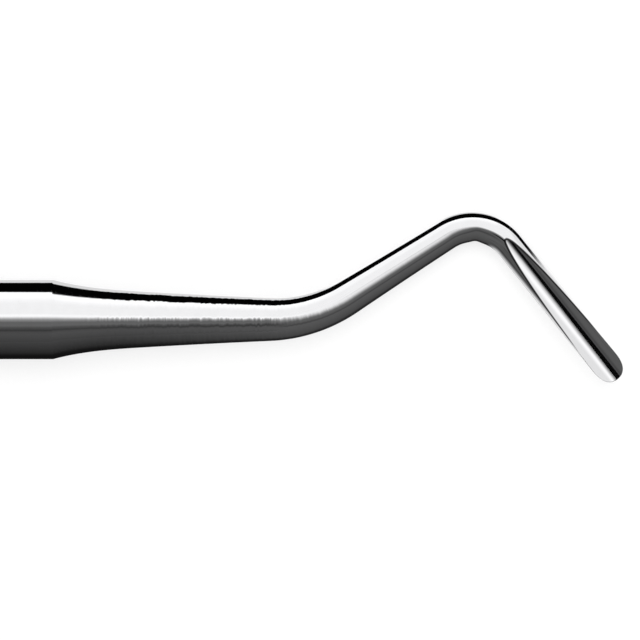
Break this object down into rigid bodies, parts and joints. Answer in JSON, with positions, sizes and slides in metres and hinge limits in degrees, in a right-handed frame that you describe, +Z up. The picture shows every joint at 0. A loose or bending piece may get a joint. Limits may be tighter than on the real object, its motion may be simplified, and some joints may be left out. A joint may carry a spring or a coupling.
{
  "type": "dental elevator",
  "caption": "One-piece steel hand instrument: round bar handle, bent tapering shank and a hollow, round-tipped gouge blade that faces sideways.",
  "frame": {"origin": "middle of the footprint, on the surface that the instrument lies on", "axes": "+X from the handle's butt towards the blade, along the handle; +Z up from the surface; the shank bends to +Y and the hollow faces up and a little to +Y"},
  "size_m": [0.1576, 0.0167, 0.008],
  "materials": {
    "polished_steel": "mirror polished, with faint turning marks round the neck and shank"
  },
  "bodies": {
    "root": {"elevator": "polished_steel"}
  },
  "joints": []
}
